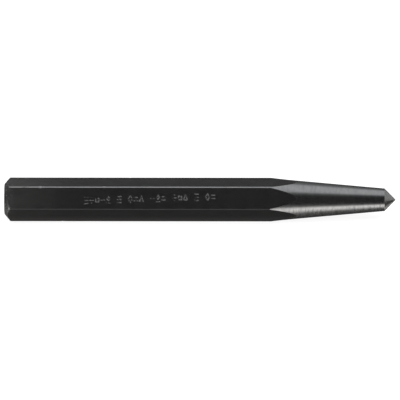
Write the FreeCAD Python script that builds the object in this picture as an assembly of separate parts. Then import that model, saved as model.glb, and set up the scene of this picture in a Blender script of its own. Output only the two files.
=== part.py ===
import FreeCAD, Part
import math
import os

# Center punch: one bar of hexagonal tool steel. The head is turned to a chamfer and a small flat face,
# the other end is ground to a long cone, and the cone ends in a short point.
#
# Frame, in millimetres: the punch lies on one of its flats. X runs along the punch with the point at +X,
# Z is up, and the origin is below the middle of the length, on the surface that the flat rests on.

# Driving dimensions
LENGTH = 162.0  # from the striking face to the tip
ACROSS_FLATS = 15.875  # 5/8 inch bar
BAR_EDGE_RADIUS = 0.45  # the six long edges of the bar, as rolled
FLAT_COUNT = 6

FACE_DIAMETER = 12.3  # striking face, measured to where its rim would be sharp
FACE_RIM_RADIUS = 1.0
CHAMFER_ANGLE = 40.0  # between the chamfer and the striking face, in degrees

TAPER_LENGTH = 49.6  # from where the grinding meets the bar's edges to the shoulder
SHOULDER_DIAMETER = 9.4  # where the taper meets the point
SHOULDER_RADIUS = 0.15
POINT_ANGLE = 90.0  # included angle of the point, in degrees
TIP_RADIUS = 0.25

# How far the turned outline stands clear of the bar where nothing is turned away
TURNING_CLEARANCE = 1.0

# Sizes that follow from them
APOTHEM = ACROSS_FLATS / 2
CORNER_ANGLE = math.pi / FLAT_COUNT  # half the angle between two flats
SHARP_EDGE_REACH = APOTHEM / math.cos(CORNER_ANGLE)
EDGE_REACH = (APOTHEM - BAR_EDGE_RADIUS) / math.cos(CORNER_ANGLE) + BAR_EDGE_RADIUS
HEAD_X = -LENGTH / 2
TIP_X = LENGTH / 2

AXIS = FreeCAD.Vector(1, 0, 0)
ORIGIN = FreeCAD.Vector(0, 0, 0)


def rounded_outline(corners):
    """A closed flat wire through corners, which are (point, radius) pairs, with each corner a tangent arc."""
    rounds = []
    for number, (point, radius) in enumerate(corners):
        before = (corners[number - 1][0] - point).normalize()
        after = (corners[(number + 1) % len(corners)][0] - point).normalize()
        half_angle = before.getAngle(after) / 2
        setback = radius / math.tan(half_angle)
        inward = (before + after).normalize()
        middle = point + inward * (radius / math.sin(half_angle) - radius)
        rounds.append((point + before * setback, middle, point + after * setback, radius))

    edges = []
    for number, (start, middle, end, radius) in enumerate(rounds):
        if radius > 0:
            edges.append(Part.Arc(start, middle, end).toShape())
        following = rounds[(number + 1) % len(rounds)][0]
        if end.distanceToPoint(following) > Part.Precision.confusion():
            edges.append(Part.LineSegment(end, following).toShape())
    return Part.Wire(edges)


def hexagonal_bar():
    """The bar as it comes, with its axis on X and one flat facing down."""
    corners = []
    for number in range(FLAT_COUNT):
        angle = (2 * number + 1) * CORNER_ANGLE - math.pi / 2
        sideways = SHARP_EDGE_REACH * math.cos(angle)
        up = SHARP_EDGE_REACH * math.sin(angle)
        corners.append((FreeCAD.Vector(HEAD_X, sideways, up), BAR_EDGE_RADIUS))
    section = Part.Face(rounded_outline(corners))
    return section.extrude(AXIS * LENGTH)


def turned_envelope():
    """Everything that the turning and grinding leave: chamfered head, long taper and point, all round X."""
    face_radius = FACE_DIAMETER / 2
    shoulder_radius = SHOULDER_DIAMETER / 2
    point_slope = math.tan(math.radians(POINT_ANGLE / 2))
    taper_slope = (EDGE_REACH - shoulder_radius) / TAPER_LENGTH
    clear_radius = EDGE_REACH + TURNING_CLEARANCE

    chamfer_end_x = HEAD_X + (clear_radius - face_radius) * math.tan(math.radians(CHAMFER_ANGLE))

    # The tip's flat is just wide enough to be taken up by the tip's rounding.
    tip_turn = math.radians(90 - POINT_ANGLE / 2)
    tip_flat_radius = TIP_RADIUS * math.tan(tip_turn / 2)
    shoulder_x = TIP_X - (shoulder_radius - tip_flat_radius) / point_slope
    taper_start_x = shoulder_x - (clear_radius - shoulder_radius) / taper_slope

    outline = [
        (HEAD_X, 0, 0),
        (HEAD_X, face_radius, FACE_RIM_RADIUS),
        (chamfer_end_x, clear_radius, 0),
        (taper_start_x, clear_radius, 0),
        (shoulder_x, shoulder_radius, SHOULDER_RADIUS),
        (TIP_X, tip_flat_radius, TIP_RADIUS),
        (TIP_X, 0, 0),
    ]
    corners = [(FreeCAD.Vector(x, 0, out), radius) for x, out, radius in outline]
    half_section = Part.Face(rounded_outline(corners))
    return half_section.revolve(ORIGIN, AXIS, 360)


def punch_body():
    """The whole punch: the part of the bar that is inside the turned envelope, set down on one flat."""
    body = hexagonal_bar().common(turned_envelope())
    solid = body.Solids[0]
    solid.translate(FreeCAD.Vector(0, 0, APOTHEM))
    return solid


def write_step(node, shape):
    shape.exportStep(os.path.join("parts", node + ".step"))


os.makedirs("parts", exist_ok=True)
write_step("punch_body", punch_body())
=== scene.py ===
import math

import bpy
import numpy as np
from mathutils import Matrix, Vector


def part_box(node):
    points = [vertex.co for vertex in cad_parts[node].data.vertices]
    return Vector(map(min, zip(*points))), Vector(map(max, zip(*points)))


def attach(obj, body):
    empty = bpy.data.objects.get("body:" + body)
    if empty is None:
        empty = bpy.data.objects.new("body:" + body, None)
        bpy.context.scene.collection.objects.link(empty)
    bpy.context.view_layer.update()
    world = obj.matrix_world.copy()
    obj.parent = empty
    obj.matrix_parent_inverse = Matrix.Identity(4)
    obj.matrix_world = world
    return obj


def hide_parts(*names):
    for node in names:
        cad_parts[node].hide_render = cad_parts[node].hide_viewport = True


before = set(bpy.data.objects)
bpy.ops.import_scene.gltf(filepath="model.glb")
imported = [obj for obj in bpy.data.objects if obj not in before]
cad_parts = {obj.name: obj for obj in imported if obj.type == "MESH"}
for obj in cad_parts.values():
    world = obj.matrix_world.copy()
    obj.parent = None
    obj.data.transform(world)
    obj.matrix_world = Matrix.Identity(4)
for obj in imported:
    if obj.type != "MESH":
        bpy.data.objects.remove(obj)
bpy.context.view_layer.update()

# A center punch that lies on one flat of its hexagonal bar, with its axis along X and its point at +X.
# Lengths are in metres. The mesh is one skin of rows along X and columns round the axis, and its rows
# follow every edge that the turning and grinding leave, so that those edges stay crisp.

MM = 0.001

# ---------------------------------------------------------------- sizes

LOW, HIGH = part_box("punch_body")
HEAD_X, TIP_X = LOW.x, HIGH.x
APOTHEM = (HIGH.z - LOW.z) / 2
EDGE_REACH = (HIGH.y - LOW.y) / 2
AXIS_Z = LOW.z + APOTHEM
SIXTH = math.pi / 3
HALF_SIXTH = SIXTH / 2
FIRST_FLAT_ANGLE = math.pi / 2  # the flat on top; angles run from +Y over the top to -Y
SPREAD_AT_EDGE = 1 / math.cos(HALF_SIXTH)
EDGE_RADIUS = (APOTHEM * SPREAD_AT_EDGE - EDGE_REACH) / (SPREAD_AT_EDGE - 1)
HALF_FLAT = (APOTHEM - EDGE_RADIUS) * math.tan(HALF_SIXTH)

# The turned and ground sizes, as in the CAD source
FACE_REACH = 6.15 * MM
FACE_RIM_RADIUS = 1.0 * MM
CHAMFER_ANGLE = math.radians(40)
TAPER_LENGTH = 49.6 * MM
SHOULDER_REACH = 4.7 * MM
SHOULDER_RADIUS = 0.15 * MM
POINT_HALF_ANGLE = math.radians(45)
TIP_RADIUS = 0.25 * MM

TAPER_SLOPE = (EDGE_REACH - SHOULDER_REACH) / TAPER_LENGTH
TIP_FLAT_REACH = TIP_RADIUS * math.tan((math.pi / 2 - POINT_HALF_ANGLE) / 2)
SHOULDER_X = TIP_X - (SHOULDER_REACH - TIP_FLAT_REACH) / math.tan(POINT_HALF_ANGLE)
TAPER_END_X = SHOULDER_X - (APOTHEM - SHOULDER_REACH) / TAPER_SLOPE  # where the last flat ends

# How softly two surfaces run into each other: they are rounded together where their reaches differ by less
# than this, and where they cross a quarter of it is taken off
CHAMFER_SOFTNESS = 0.14 * MM
TAPER_SOFTNESS = 0.012 * MM

# The start of the taper, where the grinding wheel ran in: how far along it is full, and by how much at most
RUN_IN_LENGTH = 11 * MM
RUN_IN_FULLNESS = 0.19 * MM

# The chamfer was ground by hand, so its axis is a little off the bar's: how far, and towards which angle
CHAMFER_OFFSET = 0.42 * MM
CHAMFER_OFFSET_ANGLE = math.radians(135)
TURNING_PITCH = 0.55 * MM  # between the rings that the turning left on the head

# The stamped row, on the flat that faces the camera: how far its marks are from the head and from the
# middle of the flat, how much it climbs, and how deep and wide its strokes are
STAMPED_FLAT = 1
STAMP_START_X = HEAD_X + 34.0 * MM
STAMP_PITCH = 2.28 * MM
STAMP_TILT = math.radians(1.7)
STAMP_MIDDLE = -0.15 * MM
STAMP_DEPTH = 0.17 * MM
STAMP_HALF_STROKE = 0.28 * MM

# How unevenly the marks were struck, as shares of the depth: the mean blow, how much it differs from mark
# to mark, and how much deeper one side of a mark can be across the flat and along it
MEAN_BLOW, BLOW_SPREAD = 0.85, 0.15
LEAN_ACROSS, LEAN_ALONG = 0.3, 0.25
MARK_HALF_HEIGHT, MARK_HALF_WIDTH = 1.5 * MM, 1.0 * MM

# Columns round the bar: their counts, half the width of the stamped flat's finely divided part, and how
# far the columns beside each long edge are from where its rounding starts
FLAT_STEPS = 6
STAMPED_STEPS = 36
EDGE_STEPS = 6
STAMP_BAND = 2.9 * MM
EDGE_MARGINS = [0.9 * MM, 0.5 * MM, 0.25 * MM, 0.12 * MM, 0.05 * MM]

# Rows along the punch: their counts, where they are on the chamfer, and how far apart they are elsewhere
FACE_RINGS = 12
RIM_STEPS = 6
CHAMFER_SHARES = (0.2, 0.4, 0.6, 0.75, 0.88, 0.95, 1.0)
BESIDE_CHAMFER = (0.1 * MM, 0.25 * MM, 0.4 * MM)
SPACING_BEFORE_STAMP = 0.45 * MM
SPACING_AT_STAMP = 0.19 * MM
SPACING_AFTER_STAMP = 0.6 * MM
CUT_STEPS = 24
BESIDE_CUT = (-0.4 * MM, -0.15 * MM, 0.0)
SPACING_ON_TAPER = 0.5 * MM
SHOULDER_STEPS = 4
POINT_STEPS = 16
TIP_STEPS = 4
EVEN_MARGIN = 0.6 * MM  # between the bar's even rows and the ends of its flats
STAMP_MARGIN = 1.5 * MM  # how far the closely spaced rows go on past the stamped row
ROUND_MARGIN = 1.0 * MM  # past the end of the last flat, where whole rings of the taper start


# ---------------------------------------------------------------- the stamped row

def bar(x, y, length):
    """A level stroke with its middle at (x, y)."""
    return [((x - length / 2, y), (x + length / 2, y))]


def closed(*points):
    """Strokes round a closed outline."""
    return list(zip(points, points[1:] + points[:1]))


# Plain geometric marks, in millimetres about each mark's middle. None of them is a letter or a digit.
MARKS = {
    "three_bars": bar(0, 1.3, 1.4) + bar(0, 0, 1.4) + bar(0, -1.3, 1.4),
    "two_bars": bar(0, 0.7, 1.4) + bar(0, -0.7, 1.4),
    "dash": bar(0, 0, 1.4),
    "diamond": closed((0, 1.4), (0.75, 0), (0, -1.4), (-0.75, 0)),
    "square": closed((-0.65, 0.75), (0.65, 0.75), (0.65, -0.75), (-0.65, -0.75)),
    "bar_and_dots": bar(0, 0, 1.4) + bar(0, 1.2, 0.1) + bar(0, -1.2, 0.1),
    "triangle": closed((0, 1.2), (0.75, -0.95), (-0.75, -0.95)),
    "bar_under_diamond": closed((0, 1.4), (0.6, 0.5), (0, -0.4), (-0.6, 0.5)) + bar(0, -1.3, 1.4),
}
STAMPED_ROW = [
    "three_bars", "bar_and_dots", "square", "dash", "bar_under_diamond", None,
    "three_bars", None,
    "diamond", "two_bars", "triangle", None,
    "dash", "bar_under_diamond", "two_bars", None,
    "bar_and_dots", "square", "triangle", None,
    "three_bars", None,
    "diamond", "two_bars",
]
STAMP_END_X = STAMP_START_X + STAMP_PITCH * (len(STAMPED_ROW) - 1)


def stamped_depth(x, up):
    """How deep the stamped row's sloping grooves are at x along the bar and up from the flat's middle."""
    middle_x = (STAMP_START_X + STAMP_END_X) / 2
    depth = np.zeros(x.shape)
    for place, name in enumerate(STAMPED_ROW):
        if name is None:
            continue
        mark_x = STAMP_START_X + place * STAMP_PITCH
        mark_up = STAMP_MIDDLE + (mark_x - middle_x) * math.tan(STAMP_TILT)
        distance = np.full(x.shape, np.inf)
        for start, end in MARKS[name]:
            ax, ay = mark_x + start[0] * MM, mark_up + start[1] * MM
            along_x, along_y = (end[0] - start[0]) * MM, (end[1] - start[1]) * MM
            share = ((x - ax) * along_x + (up - ay) * along_y) / (along_x**2 + along_y**2)
            share = np.clip(share, 0, 1)
            stroke = np.hypot(x - ax - share * along_x, up - ay - share * along_y)
            distance = np.minimum(distance, stroke)
        blow = MEAN_BLOW + BLOW_SPREAD * math.sin(2.4 * place)
        across = np.clip((up - mark_up) / MARK_HALF_HEIGHT, -1, 1)
        along = np.clip((x - mark_x) / MARK_HALF_WIDTH, -1, 1)
        lean = LEAN_ACROSS * math.sin(1.7 * place) * across
        lean = lean + LEAN_ALONG * math.sin(3.1 * place) * along
        groove = STAMP_DEPTH * (blow + lean) * np.clip(1 - distance / STAMP_HALF_STROKE, 0, 1)
        depth = np.maximum(depth, groove)
    return depth


# ---------------------------------------------------------------- columns and rows

def bar_section():
    """The bar's section once round: each column's angle, its reach from the axis, its flat's number, its
    place across that flat, and how far round an edge it is, from 0 on a flat to 1 in an edge's middle."""
    centre_reach = (APOTHEM - EDGE_RADIUS) * SPREAD_AT_EDGE
    columns = []
    beside_edge = np.array([HALF_FLAT - margin for margin in EDGE_MARGINS] + [HALF_FLAT])
    for flat in range(6):
        flat_angle = FIRST_FLAT_ANGLE + flat * SIXTH
        if flat == STAMPED_FLAT:
            middle = np.linspace(-STAMP_BAND, STAMP_BAND, STAMPED_STEPS + 1)
        else:
            middle = beside_edge[0] * np.linspace(-1, 1, FLAT_STEPS + 1)[1:-1]
        for offset in np.concatenate([-beside_edge[::-1], middle, beside_edge]):
            angle = flat_angle + math.atan2(offset, APOTHEM)
            columns.append((angle, math.hypot(APOTHEM, offset), flat, offset, 0.0))
        for step in range(1, EDGE_STEPS):
            past_middle = 2 * step / EDGE_STEPS - 1
            turn = past_middle * HALF_SIXTH
            out = centre_reach + EDGE_RADIUS * math.cos(turn)
            aside = EDGE_RADIUS * math.sin(turn)
            roundness = 1 - abs(past_middle)
            angle = flat_angle + HALF_SIXTH + math.atan2(aside, out)
            columns.append((angle, math.hypot(out, aside), flat, HALF_FLAT, roundness))
    return [np.array(values) for values in zip(*columns)]


def soft_minimum(a, b, softness):
    """The smaller of a and b, run together where they are within softness of each other."""
    closeness = np.clip(1 - np.abs(a - b) / softness, 0, 1)
    return np.minimum(a, b) - closeness**2 * softness / 4


def rounded_turn(corner, before, after, radius, steps):
    """Points on the arc that rounds a corner of the turned outline between two directions away from it."""
    corner, before, after = np.array(corner), np.array(before), np.array(after)
    half_angle = math.acos(before @ after) / 2
    inward = (before + after) / np.linalg.norm(before + after)
    centre = corner + inward * radius / math.sin(half_angle)
    start = corner + before * radius / math.tan(half_angle) - centre
    end = corner + after * radius / math.tan(half_angle) - centre
    turn = math.pi - 2 * half_angle
    points = []
    for share in np.linspace(0, 1, steps + 1):
        arm = start * math.sin((1 - share) * turn) + end * math.sin(share * turn)
        points.append(centre + arm / math.sin(turn))
    return points


def spaced(start, end, spacing):
    """Places from start up to, but not including, end, about that far apart."""
    return np.linspace(start, end, max(1, round((end - start) / spacing)), endpoint=False)


def chamfer_reach(x):
    """The chamfer's reach, before its axis is set off."""
    return FACE_REACH + (x - HEAD_X) / math.tan(CHAMFER_ANGLE)


def taper_reach(x):
    """The taper's reach. The wheel ran in a little gently, so the taper is slightly full where it starts."""
    past_start = (x - (SHOULDER_X - TAPER_LENGTH)) / RUN_IN_LENGTH
    easing = np.clip(1 - past_start, 0, 1) ** 2 * (1 + 2 * np.clip(past_start, 0, 1))
    fullness = RUN_IN_FULLNESS * easing
    return SHOULDER_REACH + (SHOULDER_X - x) * TAPER_SLOPE + fullness


def where_taper_reaches(reach):
    """Where along the punch the taper is that far from the axis, found in a few short steps."""
    x = SHOULDER_X - (reach - SHOULDER_REACH) / TAPER_SLOPE
    for _ in range(12):
        x = x + (taper_reach(x) - reach) / TAPER_SLOPE / 2
    return x


def where_chamfer_meets(reach, head_shift):
    """Where along the punch the chamfer meets each column of the bar."""
    return HEAD_X + (reach - head_shift - FACE_REACH) * math.tan(CHAMFER_ANGLE)


# Each of these gives rows as (x, distance from the axis, finish, whether it runs along the chamfer's rim),
# where the first two are one number or an array with a value per column.

def head_rows(reach, head_shift):
    """The striking face, its rounded rim, and the chamfer until just past where it meets the bar. The last
    three rows before the meeting and the first two after it run along the chamfer's rim."""
    slope_out = np.array([math.sin(CHAMFER_ANGLE), math.cos(CHAMFER_ANGLE)])
    rim = rounded_turn((HEAD_X, FACE_REACH), (0.0, -1.0), slope_out, FACE_RIM_RADIUS, RIM_STEPS)
    for share in np.arange(1, FACE_RINGS) / FACE_RINGS:
        yield HEAD_X, share * (rim[0][1] + head_shift), "head", False
    for x, out in rim:
        yield x, out + head_shift, "head", False

    def chamfered(x):
        return soft_minimum(chamfer_reach(x) + head_shift, reach, CHAMFER_SOFTNESS)

    meeting = where_chamfer_meets(reach, head_shift)
    rim_x = rim[-1][0]
    for share in CHAMFER_SHARES:
        x = rim_x + share * (meeting - rim_x)
        yield x, chamfered(x), "head", share in CHAMFER_SHARES[-3:]
    for gap in BESIDE_CHAMFER:
        x = meeting + gap
        yield x, chamfered(x), "bar", gap in BESIDE_CHAMFER[:2]


def even_rows(reach, start_x, end_x):
    """The bar's even length, most finely divided where it is stamped."""
    stamp_start, stamp_end = STAMP_START_X - STAMP_MARGIN, STAMP_END_X + STAMP_MARGIN
    for start, end, spacing in (
        (start_x, stamp_start, SPACING_BEFORE_STAMP),
        (stamp_start, stamp_end, SPACING_AT_STAMP),
        (stamp_end, end_x, SPACING_AFTER_STAMP),
    ):
        for x in spaced(start, end, spacing):
            yield x, reach, "bar", False


def cut_rows(reach, start_x, end_x):
    """The flats' pointed ends, on both sides of where the taper cuts them off."""
    def tapered(x):
        return soft_minimum(taper_reach(x), reach, TAPER_SOFTNESS)

    cut = where_taper_reaches(reach)
    for share in np.arange(CUT_STEPS) / CUT_STEPS:
        x = start_x + share * (cut + BESIDE_CUT[0] - start_x)
        yield x, tapered(x), "bar", False
    for gap in BESIDE_CUT:
        yield cut + gap, tapered(cut + gap), "bar", False
    for share in np.arange(1, CUT_STEPS) / CUT_STEPS:
        x = cut + share**1.5 * (end_x - cut)
        yield x, tapered(x), "taper", False


def ground_rows(start_x):
    """The rest of the taper, the shoulder, the point and its rounded tip."""
    run = math.hypot(1, TAPER_SLOPE)
    taper_back = (-1 / run, TAPER_SLOPE / run)
    point_on = np.array([math.cos(POINT_HALF_ANGLE), -math.sin(POINT_HALF_ANGLE)])
    shoulder = rounded_turn(
        (SHOULDER_X, SHOULDER_REACH), taper_back, point_on, SHOULDER_RADIUS, SHOULDER_STEPS)
    tip = rounded_turn((TIP_X, TIP_FLAT_REACH), -point_on, (0.0, -1.0), TIP_RADIUS, TIP_STEPS)

    for x in spaced(start_x, shoulder[0][0], SPACING_ON_TAPER):
        yield x, taper_reach(x), "taper", False
    for x, out in shoulder[:-2]:
        yield x, out, "taper", False
    yield *shoulder[-2], "point", False
    for share in np.arange(POINT_STEPS) / POINT_STEPS:
        x, out = shoulder[-1] + share * (tip[0] - shoulder[-1])
        yield x, out, "point", False
    for x, out in tip[:-1]:
        yield x, out, "point", False


def skin_rows(angle, reach):
    """Every row of the skin, from the striking face to the tip, with whole arrays for x and the distance."""
    head_shift = CHAMFER_OFFSET * np.cos(angle - CHAMFER_OFFSET_ANGLE)
    even_start = where_chamfer_meets(reach, head_shift).max() + EVEN_MARGIN
    even_end = SHOULDER_X - TAPER_LENGTH - EVEN_MARGIN
    all_round = TAPER_END_X + ROUND_MARGIN
    rows = [
        *head_rows(reach, head_shift),
        *even_rows(reach, even_start, even_end),
        *cut_rows(reach, even_end, all_round),
        *ground_rows(all_round),
    ]
    whole = np.ones(len(reach))
    return [(x * whole, out * whole, finish, on_rim) for x, out, finish, on_rim in rows]


# ---------------------------------------------------------------- wear

# How far each long edge is worn down, how bare it is worn, and how many degrees its facet leans round
# towards the flat before it: edge 0 is between the top flat and the camera's
EDGE_WEAR = [
    (0.085 * MM, 0.90, 10),
    (0.035 * MM, 0.0, 0),
    (0.05 * MM, 0.25, 0),
    (0.07 * MM, 0.35, 2),
    (0.06 * MM, 0.45, 0),
    (0.03 * MM, 0.20, -3),
]
EDGE_SOFTNESS = 0.03 * MM
WEAR_UNEVENNESS = 0.12  # how much the wear's depth differs along an edge
FULL_SHINE_DEPTH = 0.02 * MM  # worn this deep, the metal is as bare as it gets

# How bare the chamfer's rim is rubbed, and over how wide an angle: a glint where the rim is lowest on the
# camera's side, and a fainter stretch to both sides of it
RIM_GLINT, RIM_GLINT_SPREAD = 0.95, math.radians(2.6)
RIM_RUB, RIM_RUB_SPREAD = 0.26, math.radians(20)

ROLLED_WAVE_DEPTH = 0.004 * MM

# Small knocks on the long edges, and one stretch that is less worn: distance from the head, which edge,
# length and depth, all but the edge in mm
NICKS = [
    (8.3, 0, 1.8, -0.05),
    (15.0, 0, 0.9, 0.13),
    (16.4, 0, 0.6, 0.05),
    (41.3, 0, 1.0, 0.06),
    (63.0, 4, 0.8, 0.10),
    (85.6, 1, 0.5, 0.10),
    (87.0, 1, 0.6, 0.12),
    (24.0, 2, 0.8, 0.08),
    (97.0, 3, 1.1, 0.10),
    (52.0, 5, 0.7, 0.08),
    (9.0, 3, 0.8, 0.10),
]


def worn_down(x, angle, out):
    """The skin's reach with its long edges worn to narrow facets, and how bare the metal is there."""
    bareness = np.zeros(x.shape)
    along = x / MM
    for edge, (rest_depth, shine, lean) in enumerate(EDGE_WEAR):
        long_waves = 0.6 * np.sin(along / 4.7 + edge) * np.sin(along / 11.3 - 2 * edge)
        short_waves = 0.4 * np.sin(along / 1.9 + 3 * edge)
        depth = rest_depth * (1 + WEAR_UNEVENNESS * (long_waves + short_waves))
        for from_head, nicked_edge, length, most in NICKS:
            if nicked_edge == edge:
                from_middle = ((x - HEAD_X) / MM - from_head) * 2 / length
                depth = depth + most * MM * np.exp(-(from_middle**2))
        edge_angle = FIRST_FLAT_ANGLE + HALF_SIXTH + edge * SIXTH
        away = (angle - edge_angle + math.pi) % (2 * math.pi) - math.pi
        near = np.abs(away) < HALF_SIXTH
        lean = math.radians(lean)
        facet = (EDGE_REACH - depth) * math.cos(lean) / np.cos(np.where(near, away, 0) + lean)
        worn = np.where(near, soft_minimum(facet, out, EDGE_SOFTNESS), out)
        bareness = np.maximum(bareness, shine * np.clip((out - worn) / FULL_SHINE_DEPTH, 0, 1))
        out = worn
    return out, bareness


def rim_bareness(rows, angle):
    """How bare the rim between the chamfer and the bar is rubbed, at every point of the skin."""
    away = angle - (FIRST_FLAT_ANGLE + HALF_SIXTH + SIXTH)
    glint = RIM_GLINT * np.exp(-((away / RIM_GLINT_SPREAD) ** 2))
    rubbed = glint + RIM_RUB * np.exp(-((away / RIM_RUB_SPREAD) ** 2))
    on_rim = np.array([row[3] for row in rows], dtype=float)
    return on_rim[:, None] * rubbed


def rolled_waves(x, flat, offset):
    """How deep the rolled bar's long shallow waves are, different on each flat."""
    phase = 1.7 * flat
    long_wave = np.sin(x / (5.3 * MM) + phase) * np.sin(x / (13.1 * MM) - 2 * phase)
    cross_wave = np.sin(offset / (1.9 * MM) + phase + x / (21 * MM))
    return ROLLED_WAVE_DEPTH * (1 + 0.6 * long_wave + 0.4 * cross_wave)


# ---------------------------------------------------------------- the mesh

FINISHES = ["bar", "head", "taper", "point"]
FLAT_MAP_MARGIN = 0.004  # as a share of each strip
STILL_WHOLE = 0.001 * MM  # the bar counts as whole where less than this is taken off


def punch_mesh():
    """The skin as a mesh, with its finishes, its wear and stamp attributes and its own flat map."""
    angle, reach, flat, offset, roundness = bar_section()
    rows = skin_rows(angle, reach)
    x = np.array([row[0] for row in rows])
    out = np.array([row[1] for row in rows])
    finish = [FINISHES.index(row[2]) for row in rows]

    on_bar = (np.array(finish) == FINISHES.index("bar"))[:, None]
    whole_flat = on_bar & (out > reach - STILL_WHOLE) & (roundness == 0)
    stamp = stamped_depth(x, -offset * np.ones_like(x)) * (flat == STAMPED_FLAT) * whole_flat
    inward = stamp + rolled_waves(x, flat, offset) * whole_flat
    out, bareness = worn_down(x, angle, out)
    bareness = np.maximum(bareness, rim_bareness(rows, angle))

    normal_angle = FIRST_FLAT_ANGLE + flat * SIXTH
    y = out * np.cos(angle) - inward * np.cos(normal_angle)
    z = out * np.sin(angle) - inward * np.sin(normal_angle) + AXIS_Z
    row_count, column_count = x.shape
    points = np.stack([x, y, z], axis=2).reshape(-1, 3)
    ends = np.array([[HEAD_X, 0, AXIS_Z], [TIP_X, 0, AXIS_Z]])
    head_centre, tip = len(points), len(points) + 1

    here = np.arange(column_count)
    beside = (here + 1) % column_count
    faces = [(head_centre, b, a) for a, b in zip(here.tolist(), beside.tolist())]
    face_finish = [FINISHES.index("head")] * column_count
    for row in range(row_count - 1):
        this, following = row * column_count, (row + 1) * column_count
        quads = np.stack([this + here, this + beside, following + beside, following + here], axis=1)
        faces += quads.tolist()
        face_finish += [finish[row + 1]] * column_count
    last = (row_count - 1) * column_count
    faces += [(last + a, last + b, tip) for a, b in zip(here.tolist(), beside.tolist())]
    face_finish += [FINISHES.index("point")] * column_count

    mesh = bpy.data.meshes.new("punch")
    mesh.from_pydata(np.concatenate([points, ends]).tolist(), [], faces)
    mesh.polygons.foreach_set("material_index", face_finish)
    mesh.polygons.foreach_set("use_smooth", [True] * len(faces))

    add_attribute(mesh, "bareness", bareness, (0.0, 0.0))
    add_attribute(mesh, "stamp", stamp / STAMP_DEPTH, (0.0, 0.0))
    add_flat_map(mesh, points.reshape(row_count, column_count, 3), row_count, column_count)
    mesh.validate()
    return mesh


def add_attribute(mesh, name, values, at_ends):
    """A value for every point of the grid, and for the two points at the ends."""
    attribute = mesh.attributes.new(name, "FLOAT", "POINT")
    attribute.data.foreach_set("value", np.append(values.ravel(), at_ends).astype(np.float32))


def add_flat_map(mesh, grid, row_count, column_count):
    """The skin unrolled: along the outline and round the axis, cut in two strips to fill a square."""
    steps = np.linalg.norm(np.diff(grid[:, 0], axis=0), axis=1)
    first = np.linalg.norm(grid[0, 0] - [HEAD_X, 0, AXIS_Z])
    along = np.concatenate([[0.0, first], first + np.cumsum(steps)])
    along = np.append(along, along[-1] + TIP_FLAT_REACH)
    strip_of = (along[1:] > along[-1] / 2).astype(int)  # by the end of each band of faces
    margin = FLAT_MAP_MARGIN

    uv = []
    for band in range(row_count + 1):
        strip = strip_of[band]
        bands = np.flatnonzero(strip_of == strip)
        start, end = along[bands[0]], along[bands[-1] + 1]
        near = margin + (1 - 2 * margin) * (along[band] - start) / (end - start)
        far = margin + (1 - 2 * margin) * (along[band + 1] - start) / (end - start)
        around = np.arange(column_count + 1) / column_count
        around = (strip + margin + (1 - 2 * margin) * around) / 2
        left, right = around[:-1], around[1:]
        near, far = np.full(column_count, near), np.full(column_count, far)
        if band == 0:
            corners = [(near, left), (far, right), (far, left)]
        elif band == row_count:
            corners = [(near, left), (near, right), (far, left)]
        else:
            corners = [(near, left), (near, right), (far, right), (far, left)]
        uv.append(np.stack([np.stack(corner, axis=1) for corner in corners], axis=1).reshape(-1, 2))
    layer = mesh.uv_layers.new(name="OFBake")
    layer.data.foreach_set("uv", np.concatenate(uv).astype(np.float32).ravel())


# ---------------------------------------------------------------- materials

# Pairs of colours are the darkest and the lightest of a finish
OXIDE = (0.0118, 0.0115, 0.0117), (0.0152, 0.0149, 0.0148)
# Painted light: a lighter, warmer oxide, painted near the head to stand in for light falling from that end
HEAD_LIT_OXIDE = (0.024, 0.0232, 0.0225), (0.031, 0.030, 0.029)
# Painted light: a lighter colour, painted low on the bar near the floor to stand in for light from below
LOW_LIT_SKIN = (0.050, 0.0475, 0.046)
LIGHT_SPECK = (0.058, 0.058, 0.056)
WORN_STEEL = (0.42, 0.42, 0.43)
CHAMFER_OXIDE = (0.006, 0.006, 0.006), (0.040, 0.040, 0.039)
STRUCK_OXIDE = (0.050, 0.049, 0.048), (0.105, 0.104, 0.102)
TURNED_STEEL = (0.38, 0.38, 0.375)
TAPER_STEEL = (0.43, 0.435, 0.44), (0.49, 0.488, 0.485)
TAPER_STREAK = (0.30, 0.30, 0.30)
POINT_STEEL = (0.345, 0.348, 0.335), (0.505, 0.508, 0.49)

# Along the bar: where the oxide is painted lighter near the head (painted light falling from that end),
# where specks show, and where the bar is painted lighter low down (painted light from below)
HEAD_LIGHT_FROM, HEAD_LIGHT_TO = 2 * MM, 34 * MM
SPECKS_FROM, SPECKS_TO = 2.5 * MM, 5 * MM
LOW_LIGHT_TOP, LOW_LIGHT_FULL = 4.0 * MM, 0.2 * MM


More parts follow.
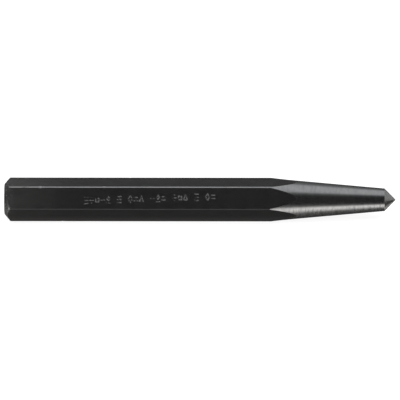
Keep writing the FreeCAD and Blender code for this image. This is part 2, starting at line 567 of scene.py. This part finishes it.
class Nodes:
    """A node tree, with short calls for the nodes that the finishes and the studio share."""

    def __init__(self, tree):
        self.tree = tree

    def link(self, source, target):
        if isinstance(source, bpy.types.NodeSocket):
            self.tree.links.new(source, target)
        else:
            target.default_value = source

    def span(self, value, low, high, to_low=0.0, to_high=1.0):
        """value's stretch from low to high, spread smoothly from to_low to to_high."""
        node = self.tree.nodes.new("ShaderNodeMapRange")
        node.interpolation_type = "SMOOTHSTEP"
        numbers = {"Value": value, "From Min": low, "From Max": high, "To Min": to_low, "To Max": to_high}
        for name, number in numbers.items():
            self.link(number, node.inputs[name])
        return node.outputs["Result"]

    def math(self, operation, a, b=0.0):
        node = self.tree.nodes.new("ShaderNodeMath")
        node.operation = operation
        self.link(a, node.inputs[0])
        self.link(b, node.inputs[1])
        return node.outputs["Value"]

    def weighed(self, a, b, share):
        """a and b added together, with b taking that share."""
        return self.math("ADD", self.math("MULTIPLY", a, 1 - share), self.math("MULTIPLY", b, share))

    def blend(self, share, a, b):
        """Colour a turning into colour b."""
        node = self.tree.nodes.new("ShaderNodeMix")
        node.data_type = "RGBA"
        self.link(share, node.inputs["Factor"])
        for name, colour in (("A", a), ("B", b)):
            socket = next(s for s in node.inputs if s.name == name and s.type == "RGBA")
            self.link(colour if isinstance(colour, bpy.types.NodeSocket) else (*colour, 1.0), socket)
        return next(s for s in node.outputs if s.type == "RGBA")

    def parts(self, vector):
        """The X, Y and Z of a vector."""
        node = self.tree.nodes.new("ShaderNodeSeparateXYZ")
        self.link(vector, node.inputs["Vector"])
        return [node.outputs[name] for name in "XYZ"]

    def ramp(self, value, stops):
        """Brightness that follows (value, brightness) stops smoothly, from the first stop to the last."""
        low, high = stops[0][0], stops[-1][0]
        node = self.tree.nodes.new("ShaderNodeValToRGB")
        node.color_ramp.interpolation = "EASE"
        elements = node.color_ramp.elements
        for number, (at, brightness) in enumerate(stops):
            position = (at - low) / (high - low)
            element = elements[number] if number < 2 else elements.new(position)
            element.position = position
            element.color = (brightness, brightness, brightness, 1)
        share = self.math("DIVIDE", self.math("SUBTRACT", value, low), high - low)
        self.link(share, node.inputs["Fac"])
        return node.outputs["Color"]


class Finish(Nodes):
    """A material for steel, placed by the punch's own coordinates."""

    def __init__(self, name):
        self.material = bpy.data.materials.new(name)
        self.material.use_nodes = True
        super().__init__(self.material.node_tree)
        self.surface = self.tree.nodes["Principled BSDF"]
        self.place = self.tree.nodes.new("ShaderNodeTexCoord").outputs["Object"]

    def noise(self, grain, detail=3.0, roughness=0.55, lift=0.0):
        """Noise whose grain is that long along X, Y and Z, in millimetres."""
        stretch = self.tree.nodes.new("ShaderNodeMapping")
        stretch.inputs["Scale"].default_value = [1 / (g * MM) for g in grain]
        stretch.inputs["Location"].default_value = [lift, lift, lift]
        self.link(self.place, stretch.inputs["Vector"])
        node = self.tree.nodes.new("ShaderNodeTexNoise")
        node.inputs["Scale"].default_value = 1.0
        node.inputs["Detail"].default_value = detail
        node.inputs["Roughness"].default_value = roughness
        self.link(stretch.outputs["Vector"], node.inputs["Vector"])
        return node.outputs["Fac"]

    def attribute(self, name):
        node = self.tree.nodes.new("ShaderNodeAttribute")
        node.attribute_name = name
        return node.outputs["Fac"]

    def bump(self, height, depth):
        """Relief of that depth, in millimetres."""
        node = self.tree.nodes.new("ShaderNodeBump")
        node.inputs["Strength"].default_value = 1.0
        node.inputs["Distance"].default_value = depth * MM
        self.link(height, node.inputs["Height"])
        self.link(node.outputs["Normal"], self.surface.inputs["Normal"])

    def done(self, colour, roughness, metallic, specular=0.5):
        self.link(colour, self.surface.inputs["Base Color"])
        self.link(roughness, self.surface.inputs["Roughness"])
        self.link(metallic, self.surface.inputs["Metallic"])
        self.link(specular, self.surface.inputs["Specular IOR Level"])
        return self.material


def blackened_bar():
    """The bar as rolled and blackened: a dark satin skin with faint draw lines, worn bright on its edges."""
    f = Finish("blackened_bar")
    draw_lines = f.noise((14, 0.35, 0.35), detail=4)
    mottle = f.noise((5, 3, 3), detail=5, lift=3.0)
    speckle = f.noise((0.7, 0.6, 0.6), detail=2, lift=7.0)
    from_head = f.math("SUBTRACT", f.parts(f.place)[0], HEAD_X)

    skin = f.blend(f.span(mottle, 0.3, 0.7), *OXIDE)
    # Painted light: the skin is painted lighter and warmer towards the head, standing in for light falling
    # from that end
    head_lit = f.blend(f.span(mottle, 0.3, 0.7), *HEAD_LIT_OXIDE)
    skin = f.blend(f.span(from_head, HEAD_LIGHT_FROM, HEAD_LIGHT_TO, 1.0, 0.0), skin, head_lit)
    # Painted light: the skin is painted lighter low on the bar, near the floor, standing in for light from
    # below
    low_lit = f.span(f.parts(f.place)[2], LOW_LIGHT_TOP, LOW_LIGHT_FULL, 0.0, 0.95)
    skin = f.blend(low_lit, skin, LOW_LIT_SKIN)
    speckled = f.span(from_head, SPECKS_FROM, SPECKS_TO, 1.0, 0.06)
    skin = f.blend(f.math("MULTIPLY", f.span(speckle, 0.50, 0.60), speckled), skin, LIGHT_SPECK)

    patchy = f.span(f.noise((3, 2, 2), detail=4, lift=11.0), 0.25, 0.6, 0.7, 1.0)
    worn = f.math("MULTIPLY", f.attribute("bareness"), patchy)
    filled = f.span(f.noise((1.1, 0.8, 0.8), detail=2, lift=15.0), 0.40, 0.56, 0.0, 1.15)
    bare = f.math("MAXIMUM", worn, f.math("MULTIPLY", f.attribute("stamp"), filled))
    colour = f.blend(bare, skin, WORN_STEEL)
    roughness = f.span(f.weighed(draw_lines, mottle, 0.4), 0.3, 0.7, 0.29, 0.34)
    f.bump(f.weighed(draw_lines, speckle, 0.3), 0.0035)
    return f.done(colour, roughness, bare, 0.8)


def turned_head():
    """The turned chamfer and struck face: blackened too, but coarser, with turning rings and small bare
    specks. The hammer has left the face greyer than the chamfer."""
    f = Finish("turned_head")
    x, y, z = f.parts(f.place)
    up = f.math("SUBTRACT", z, AXIS_Z)
    reach = f.math("SQRT", f.math("ADD", f.math("MULTIPLY", y, y), f.math("MULTIPLY", up, up)))
    rings = f.math("SINE", f.math("MULTIPLY", reach, 2 * math.pi / TURNING_PITCH))
    pits = f.noise((0.7, 0.7, 0.7), detail=4, roughness=0.7, lift=5.0)
    dents = f.noise((2.2, 2.2, 2.2), detail=3, lift=13.0)
    specks = f.span(f.noise((0.5, 0.5, 0.5), detail=2, lift=9.0), 0.58, 0.68)
    on_face = f.span(x, HEAD_X + FACE_RIM_RADIUS / 4, HEAD_X + FACE_RIM_RADIUS / 20)

    skin = f.blend(f.span(pits, 0.40, 0.60), *CHAMFER_OXIDE)
    struck = f.blend(f.span(dents, 0.4, 0.6), *STRUCK_OXIDE)
    skin = f.blend(f.math("MULTIPLY", on_face, 0.8), skin, struck)
    bare = f.math("MAXIMUM", f.math("MULTIPLY", specks, 0.6), f.attribute("bareness"))
    colour = f.blend(bare, skin, TURNED_STEEL)
    burnished = f.math("MULTIPLY", f.attribute("bareness"), 0.16)
    roughness = f.math("SUBTRACT", f.span(pits, 0.3, 0.7, 0.38, 0.58), burnished)
    relief = f.weighed(f.math("MULTIPLY", rings, 0.12), pits, 0.6)
    f.bump(f.weighed(relief, dents, 0.3), 0.045)
    return f.done(colour, roughness, bare)


def ground_taper():
    """The long taper: ground round and round to a satin gloss under a thin skin of oxide."""
    f = Finish("ground_taper")
    grinding = f.noise((0.35, 9, 9), detail=4, roughness=0.65)
    streaks = f.noise((0.8, 3.5, 3.5), detail=3, roughness=0.6, lift=2.0)
    streaked = f.span(f.parts(f.place)[2], AXIS_Z - 2 * MM, AXIS_Z + 1 * MM, 0.85, 0.25)
    patches = f.noise((4, 3, 3), detail=4, lift=4.0)
    colour = f.blend(f.span(patches, 0.3, 0.7), *TAPER_STEEL)
    colour = f.blend(f.math("MULTIPLY", f.span(streaks, 0.42, 0.68), streaked), colour, TAPER_STREAK)
    roughness = f.span(grinding, 0.3, 0.7, 0.19, 0.27)
    f.bump(grinding, 0.003)
    return f.done(colour, roughness, 1.0)


def ground_point():
    """The point: ground bare, coarse and grey."""
    f = Finish("ground_point")
    grinding = f.noise((0.25, 2.5, 2.5), detail=4, roughness=0.7)
    speckle = f.noise((0.45, 0.45, 0.45), detail=3, lift=6.0)
    colour = f.blend(f.span(speckle, 0.35, 0.65), *POINT_STEEL)
    roughness = f.span(grinding, 0.3, 0.7, 0.22, 0.32)
    f.bump(f.weighed(grinding, speckle, 0.4), 0.012)
    return f.done(colour, roughness, 1.0)


# ---------------------------------------------------------------- stage, light and camera

CAMERA_AZIMUTH = math.radians(0.15)
CAMERA_ELEVATION = math.radians(26.3)
LENS = 650  # focal length and sensor width, in millimetres
SENSOR = 36
SEEN_WIDTH = 165.7 * MM  # across the view, at the punch
AIM_BELOW_AXIS = 0.22 * MM
NEAREST, FARTHEST = 0.01, 20  # the camera's clipping distances

# The studio round the punch, as (degrees, brightness) from straight under it at -90, past the camera's
# side at 0 and overhead at 90, to the back at 180 and under it again at 270
STUDIO_ROUND = [
    (-90, 0.09),
    (-75, 0.14),
    (-62, 0.28),
    (-52, 0.86),
    (-43, 1.24),
    (-30, 1.22),
    (-18, 0.18),
    (-8, 0.035),
    (0, 0.022),
    (50, 0.022),
    (62, 0.10),
    (80, 0.60),
    (120, 0.59),
    (140, 0.21),
    (155, 0.12),
    (180, 0.10),
    (205, 0.06),
    (240, 0.05),
    (270, 0.09),
]
# The part of the studio that the point faces, as (height of the direction, brightness)
STUDIO_AT_POINT = [
    (-1.0, 0.95),
    (-0.74, 0.80),
    (-0.64, 0.20),
    (-0.50, 0.07),
    (-0.15, 0.06),
    (-0.08, 0.42),
    (1.0, 0.42),
]
# The part that the head faces
STUDIO_AT_HEAD = [
    (-1.0, 0.95),
    (-0.38, 0.95),
    (-0.24, 0.08),
    (0.10, 0.12),
    (0.30, 0.60),
    (1.0, 0.60),
]
WARM, COOL = (1.02, 1.0, 0.98), (0.98, 1.0, 1.015)  # the tint of light from below and from above
# The light that the oxide scatters, as (height of the direction, brightness), and what the camera sees
FILL = [(-1.0, 0.46), (0.45, 0.28), (1.0, 3.00)]
BACKDROP = 1.0

FLOOR_SIZE = 6.0
FLOOR_GAP = 0.02 * MM
FLOOR_COLOUR = 0.22
FLOOR_GLOW = 0.89


def white_floor():
    """A pale floor that glows a little, as on a light table, so that the shadows stay faint."""
    bpy.ops.mesh.primitive_plane_add(size=FLOOR_SIZE, location=(0, 0, LOW.z - FLOOR_GAP))
    floor = bpy.context.object
    floor.name = "floor"
    material = bpy.data.materials.new("white_floor")
    material.use_nodes = True
    surface = material.node_tree.nodes["Principled BSDF"]
    surface.inputs["Base Color"].default_value = (FLOOR_COLOUR, FLOOR_COLOUR, FLOOR_COLOUR, 1)
    surface.inputs["Roughness"].default_value = 1.0
    surface.inputs["Specular IOR Level"].default_value = 0.0
    surface.inputs["Emission Color"].default_value = (1, 1, 1, 1)
    surface.inputs["Emission Strength"].default_value = FLOOR_GLOW
    floor.data.materials.append(material)
    floor.visible_glossy = False
    floor.visible_diffuse = False


def studio_surround():
    """Soft light from overhead and from low in front, an even fill, and a plain white backdrop."""
    world = bpy.data.worlds.new("studio")
    bpy.context.scene.world = world
    world.use_nodes = True
    world.node_tree.nodes.clear()
    w = Nodes(world.node_tree)
    nodes = world.node_tree.nodes
    x, y, z = w.parts(nodes.new("ShaderNodeTexCoord").outputs["Generated"])

    # Degrees above the horizon on the camera's side, counted on over the top and down the back
    above_camera = w.math("ARCTAN2", z, w.math("MULTIPLY", y, -1.0))
    from_below = w.math("FLOORED_MODULO", w.math("ADD", above_camera, math.pi / 2), 2 * math.pi)
    degrees = w.math("SUBTRACT", w.math("MULTIPLY", from_below, 180 / math.pi), 90.0)

    studio = w.ramp(degrees, STUDIO_ROUND)
    studio = w.blend(w.span(x, 0.36, 0.55), studio, w.ramp(z, STUDIO_AT_POINT))
    studio = w.blend(w.span(x, -0.35, -0.6), studio, w.ramp(z, STUDIO_AT_HEAD))
    tint = nodes.new("ShaderNodeVectorMath")
    tint.operation = "MULTIPLY"
    w.link(studio, tint.inputs[0])
    w.link(w.blend(w.span(z, -0.3, 0.3), WARM, COOL), tint.inputs[1])

    def light(colour):
        node = nodes.new("ShaderNodeBackground")
        w.link(colour, node.inputs["Color"])
        return node.outputs["Background"]

    def either(test, when_not, when):
        node = nodes.new("ShaderNodeMixShader")
        w.link(test, node.inputs["Fac"])
        w.link(when_not, node.inputs[1])
        w.link(when, node.inputs[2])
        return node.outputs["Shader"]

    ray = nodes.new("ShaderNodeLightPath").outputs
    lit = either(ray["Is Diffuse Ray"], light(tint.outputs["Vector"]), light(w.ramp(z, FILL)))
    seen = either(ray["Is Camera Ray"], lit, light((BACKDROP, BACKDROP, BACKDROP, 1)))
    w.link(seen, nodes.new("ShaderNodeOutputWorld").inputs["Surface"])
    world.cycles.sampling_method = "NONE"


def long_lens_camera():
    """A very long lens a little above the punch, so that it looks down almost square onto one flat."""
    data = bpy.data.cameras.new("camera")
    data.lens = LENS
    data.sensor_width = SENSOR
    camera = bpy.data.objects.new("camera", data)
    bpy.context.scene.collection.objects.link(camera)
    level = math.cos(CAMERA_ELEVATION)
    back = Vector((
        math.sin(CAMERA_AZIMUTH) * level,
        -math.cos(CAMERA_AZIMUTH) * level,
        math.sin(CAMERA_ELEVATION),
    ))
    aim = Vector(((HEAD_X + TIP_X) / 2, 0, AXIS_Z - AIM_BELOW_AXIS))
    camera.location = aim + back * SEEN_WIDTH * LENS / SENSOR
    camera.rotation_euler = (-back).to_track_quat("-Z", "Y").to_euler()
    data.clip_start, data.clip_end = NEAREST, FARTHEST
    bpy.context.scene.camera = camera


# ---------------------------------------------------------------- the scene

mesh = punch_mesh()
for make in (blackened_bar, turned_head, ground_taper, ground_point):
    mesh.materials.append(make())
punch = bpy.data.objects.new("punch", mesh)
bpy.context.scene.collection.objects.link(punch)
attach(punch, "root")
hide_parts("punch_body")

white_floor()
studio_surround()
long_lens_camera()
bpy.context.scene.view_settings.view_transform = "Standard"
